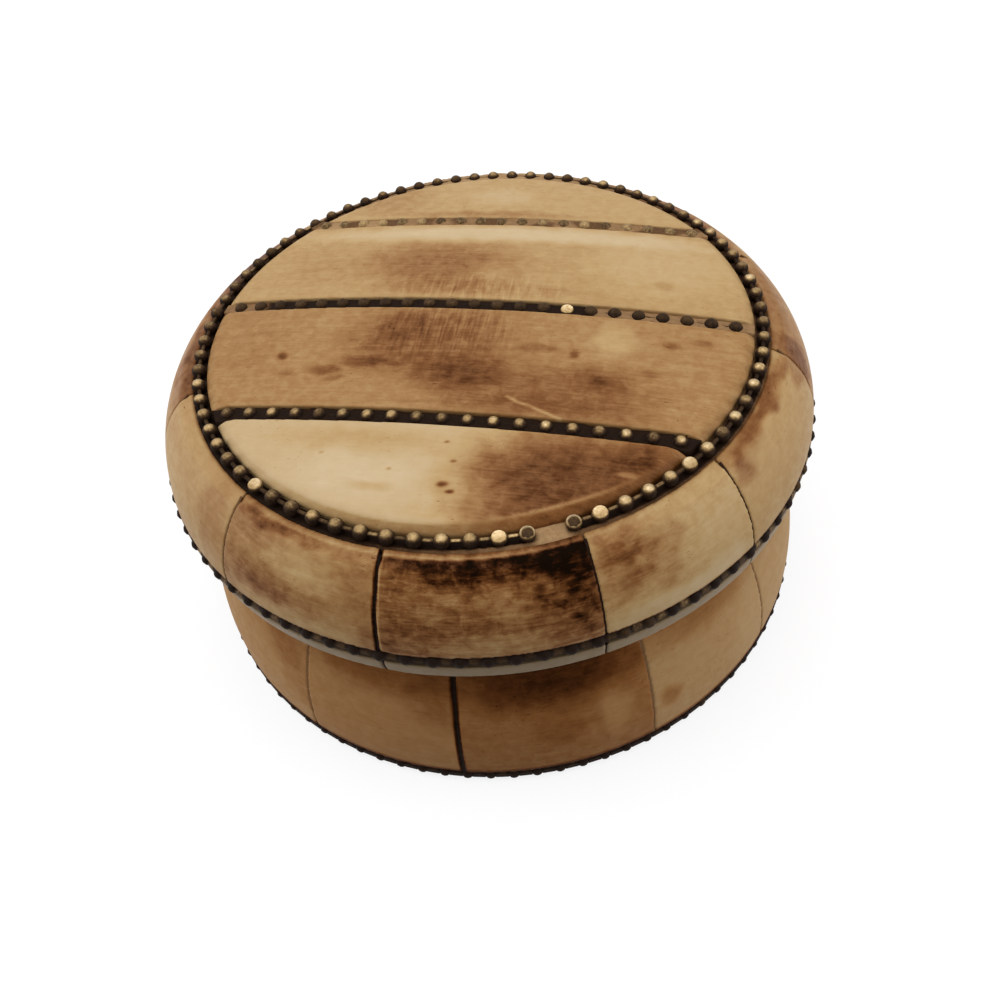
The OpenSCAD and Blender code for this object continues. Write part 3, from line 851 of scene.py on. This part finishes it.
# tones of the joints, and of those near these directions
jointLook = {"lid": {"plain": 0.55, "open": {265.3: 0.02, 297.8: 0.14, 325.2: 0.3}},
             "base": {"plain": 0.72, "open": {273.6: 0.02}}}
jointSpan = 4
jointSharpDegrees = 30


def makeBed(node, name):
    bed = copyNode(node, name)
    finishWith(bed, "REMESH", mode="VOXEL", voxel_size=bedLook["voxelMm"] * mm)
    bpy.ops.object.shade_smooth()
    points = pointsOf(bed.data) / mm
    uneven = noiseAt(points, bedLook["unevenSpanMm"]) * bedLook["unevenMm"]
    return bed, points, uneven, normalsOf(bed.data)[:, 2] > bedLook["topNormal"]


bed, points, uneven, onTop = makeBed("top_ring_bed", "compoundRingBed")
# the near-black under and between the beads is dark compound with painted shade
atBack = nearTurn(points, ringBed["backAt"], ringBed["backSpan"])
tones = ringBed["tone"] + (ringBed["backTone"] - ringBed["tone"]) * atBack
fromChain = np.hypot(points[:, 0], points[:, 1]) - topRing["radiusMm"]
side = smoothStep(*ringBed["sideFromMm"], np.abs(fromChain))
side = side * nearTurn(points, ringBed["sideAt"], ringBed["sideSpan"])
tones = tones + (ringBed["sideTone"] - tones) * side
strip = smoothStep(*ringBed["stripFromMm"], fromChain)
strip = strip * nearTurn(points, ringBed["stripAt"], ringBed["stripSpan"])
tones = tones + (ringBed["stripTone"] - tones) * strip
gapFrom, gapTo = (gapTurn * share for share in ringBed["gapShare"])
gap = 1 - smoothStep(gapFrom, gapTo, np.abs(turnFrom(points, topRing["gapAt"])))
lift = ringBed["liftMm"] * np.maximum(gap, strip) + ringBed["backLiftMm"] * atBack
# the bed's outer edge runs in under the tiles
lift = lift - (lift + ringBed["dropMm"]) * smoothStep(*ringBed["outerMm"], fromChain)
points[:, 2] = np.where(onTop, ringBed["heightMm"] + lift + uneven, points[:, 2])
movePoints(bed.data, points * mm)
setPointValues(bed.data, "tone", tones + (ringBed["gapTone"] - tones) * gap)
settle(bed, compound, "lid", "top_ring_bed")

for place, look in straightBeds.items():
    bed, points, uneven, onTop = makeBed(f"plank_bed_{place}", f"compound{place.title()}Bed")
    tones = np.full(len(points), look["tone"])
    for side, (fromMm, tone) in look["ends"].items():   # paler towards an end
        tones += (tone - look["tone"]) * smoothStep(*bedLook["endFadeMm"], side * points[:, 0] - fromMm)
    if "patches" in look:
        patches = smoothStep(*look["patches"]["over"], noiseAt(points, look["patches"]["spanMm"]))
        tones += (look["patches"]["tone"] - tones) * patches
    points[:, 2] += np.where(onTop, look["liftMm"] + uneven, 0)
    radius, reached = reachOut(points)
    points[:, :2] *= (reached / radius)[:, None]
    movePoints(bed.data, points * mm)
    setPointValues(bed.data, "tone", tones)
    settle(bed, compound, "lid", f"plank_bed_{place}")

for body, look in jointLook.items():
    strips = copyNode(f"{body}_joint_filler", f"compound{body.title()}Joints")
    bpy.ops.object.shade_smooth_by_angle(angle=math.radians(jointSharpDegrees))
    points = pointsOf(strips.data)
    tones = np.full(len(points), look["plain"])
    for at, tone in look["open"].items():
        tones = np.where(np.abs(turnFrom(points, at)) < jointSpan, tone, tones)
    setPointValues(strips.data, "tone", tones)
    settle(strips, compound, body, f"{body}_joint_filler")

# the turned cores keep their solids
for node in ("base_core", "lid_core"):
    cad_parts[node].data.materials.clear()
    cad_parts[node].data.materials.append(wood)
print("compound and cores finished")


# Camera at the photograph's side, from the rings of beads

cameraPlace = {"atMm": (23.795, -85.225, 106.606), "right": (0.9816, 0.1698, -0.0874),
               "up": (-0.0641, 0.7241, 0.6867), "lensMm": 32.637, "sensorMm": 36, "shiftY": -0.05,
               "clipMm": 5}
camera = bpy.data.objects.new("photoCamera", bpy.data.cameras.new("photoCamera"))
bpy.context.scene.collection.objects.link(camera)
sideways = Vector(cameraPlace["right"]).normalized()
backward = sideways.cross(Vector(cameraPlace["up"])).normalized()
turn = Matrix((sideways, backward.cross(sideways), backward)).transposed().to_4x4()
camera.matrix_world = Matrix.Translation(Vector(cameraPlace["atMm"]) * mm) @ turn
camera.data.lens = cameraPlace["lensMm"]
camera.data.sensor_width = cameraPlace["sensorMm"]
camera.data.shift_y = cameraPlace["shiftY"]
camera.data.clip_start = cameraPlace["clipMm"] * mm
bpy.context.scene.camera = camera


# Studio: white paper and soft lamps, the strongest above, so that the lid shades the base.
# A lamp is (name, place, size, power) in metres and watts.

studio = {"floorM": 3, "floorColour": "#808080", "floorRoughness": 0.9, "floorGlow": 0.82, "ambient": 0.30,
          "aimAt": (0, 0, 0.02), "lamps": [("overheadSoftbox", (-0.05, 0.05, 0.60), 0.55, 2.15),
                                           ("leftSoftbox", (-0.50, -0.10, 0.22), 0.35, 1.0),
                                           ("rightSoftbox", (0.50, 0.00, 0.22), 0.35, 1.0)]}
white = (1, 1, 1, 1)


def seenDirectly(tree):   # 1 for the camera and for what it sees in gloss or through glass
    rays = addNode(tree, "ShaderNodeLightPath", {})
    seen = addMath(tree, "MAXIMUM", rays["Is Camera Ray"], rays["Is Glossy Ray"])
    return addMath(tree, "MAXIMUM", seen, rays["Is Transmission Ray"])


def makePaper():
    material, tree, shader = newMaterial("whitePaper")
    shader.inputs["Base Color"].default_value = linear(studio["floorColour"])
    shader.inputs["Roughness"].default_value = studio["floorRoughness"]
    shader.inputs["Emission Color"].default_value = white
    glow = addMath(tree, "MULTIPLY", seenDirectly(tree), studio["floorGlow"])
    tree.links.new(glow, shader.inputs["Emission Strength"])
    return material


bpy.ops.object.select_all(action="DESELECT")
bpy.ops.mesh.primitive_plane_add(size=studio["floorM"], location=(0, 0, 0))
floor = bpy.context.object
floor.name = "paperFloor"
floor.data.materials.append(makePaper())
for name, place, size, power in studio["lamps"]:
    lamp = bpy.data.objects.new(name, bpy.data.lights.new(name, "AREA"))
    lamp.data.shape = "SQUARE"
    lamp.data.size = size
    lamp.data.energy = power
    lamp.location = place
    lamp.rotation_euler = (Vector(studio["aimAt"]) - Vector(place)).to_track_quat("-Z", "Y").to_euler()
    bpy.context.scene.collection.objects.link(lamp)
world = bpy.data.worlds.new("studioAir")
world.use_nodes = True
air = world.node_tree.nodes["Background"]
air.inputs["Color"].default_value = white
glow = addMath(world.node_tree, "MULTIPLY_ADD", seenDirectly(world.node_tree), 1 - studio["ambient"],
               studio["ambient"])
world.node_tree.links.new(glow, air.inputs["Strength"])
bpy.context.scene.world = world
bpy.context.scene.view_settings.view_transform = "Standard"
print("studio lit")
